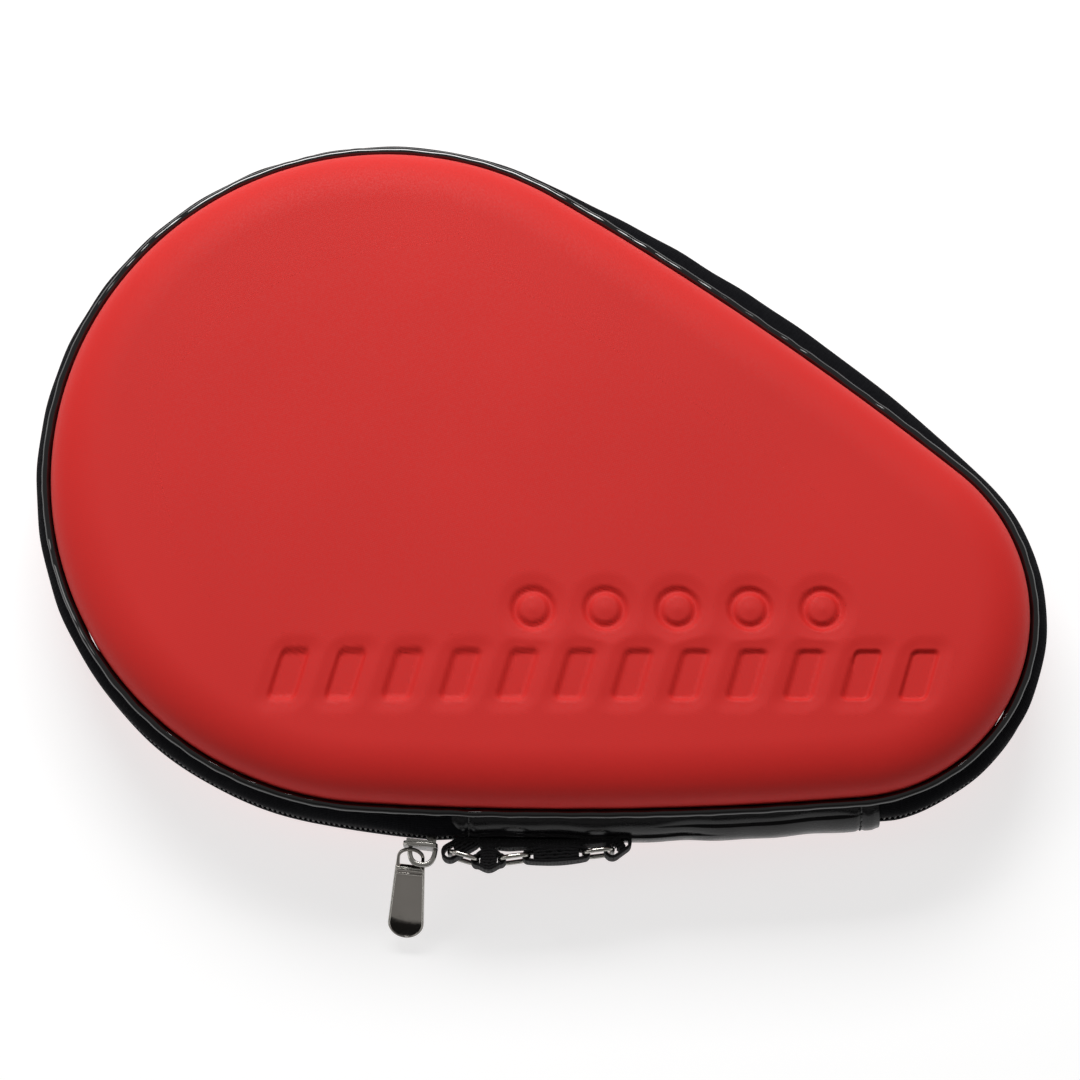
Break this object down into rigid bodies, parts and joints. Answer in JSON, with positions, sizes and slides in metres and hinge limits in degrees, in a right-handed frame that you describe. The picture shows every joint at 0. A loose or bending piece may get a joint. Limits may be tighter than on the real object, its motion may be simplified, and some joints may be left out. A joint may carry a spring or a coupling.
{
  "type": "paddle case",
  "caption": "Pear-shaped hard clamshell case for a table-tennis paddle, with piped red shells, a zip round the rim, a folding spine and a ringed carry strap.",
  "frame": {"origin": "centre of the round blade end on the flat rear face", "axes": "+X along the case towards its narrow handle end, +Z from the rear face towards the front face, the spine on the -Y side"},
  "size_m": [0.3057, 0.2297, 0.048],
  "materials": {
    "red_shell": "matte knitted face fabric bonded to moulded foam",
    "piping": "glossy black vinyl",
    "zip_tape": "matte black woven tape",
    "zip_coil": "satin black nylon coil",
    "spine_leather": "glossy black grained leatherette",
    "webbing": "black ribbed webbing",
    "lining": "dark grey brushed knit",
    "binding": "black woven seam binding",
    "mesh": "black knitted mesh",
    "nickel": "bright nickel plating",
    "dark_nickel": "polished dark nickel plating"
  },
  "bodies": {
    "rear_half": {"rear_shell": "red_shell", "rear_lining": "lining", "rear_piping": "piping", "rear_binding": "binding", "rear_zip_tape": "zip_tape", "rear_zip_teeth": "zip_coil", "paddle_strap": "webbing"},
    "spine": {"spine_cover": "spine_leather", "spine_lining": "lining", "left_sewn_tab": "webbing", "right_sewn_tab": "webbing"},
    "front_half": {"front_shell": "red_shell", "front_lining": "lining", "front_piping": "piping", "front_binding": "binding", "front_zip_tape": "zip_tape", "front_zip_teeth": "zip_coil", "ball_pocket": "mesh", "pocket_hem": "webbing"},
    "slider": {"slider_body": "nickel", "slider_bridge": "nickel"},
    "pull": {"pull_tab": "dark_nickel"},
    "carry_strap": {"left_strap_ring": "nickel", "middle_strap_ring": "nickel", "right_strap_ring": "nickel", "left_webbing_loop": "webbing", "right_webbing_loop": "webbing"}
  },
  "joints": [
    {"name": "spine_fold", "type": "hinge", "parent": "rear_half", "child": "spine", "pos_m": [0.10886, -0.07207, 0.012], "axis": [0.9458, 0.3248, 0], "range_deg": [0, 88]},
    {"name": "lid_open", "type": "hinge", "parent": "spine", "child": "front_half", "pos_m": [0.10886, -0.07207, 0.036], "axis": [0.9458, 0.3248, 0], "range_deg": [0, 88]},
    {"name": "slider_run", "type": "hinge", "parent": "rear_half", "child": "slider", "pos_m": [0.00332, 0.04687, 0.024], "axis": [0, 0, 1], "range_deg": [-30, 0]},
    {"name": "pull_swing", "type": "hinge", "parent": "slider", "child": "pull", "pos_m": [0.04124, -0.10391, 0.02445], "axis": [0.9806, 0.1958, 0], "range_deg": [0, 44]},
    {"name": "strap_swing", "type": "hinge", "parent": "spine", "child": "carry_strap", "pos_m": [0.07458, -0.09297, 0.024], "axis": [0.9499, 0.3124, 0], "range_deg": [-10, 10]}
  ],
  "couplings": [
    {"joint": "spine_fold", "follows": "lid_open", "ratio": 1}
  ]
}
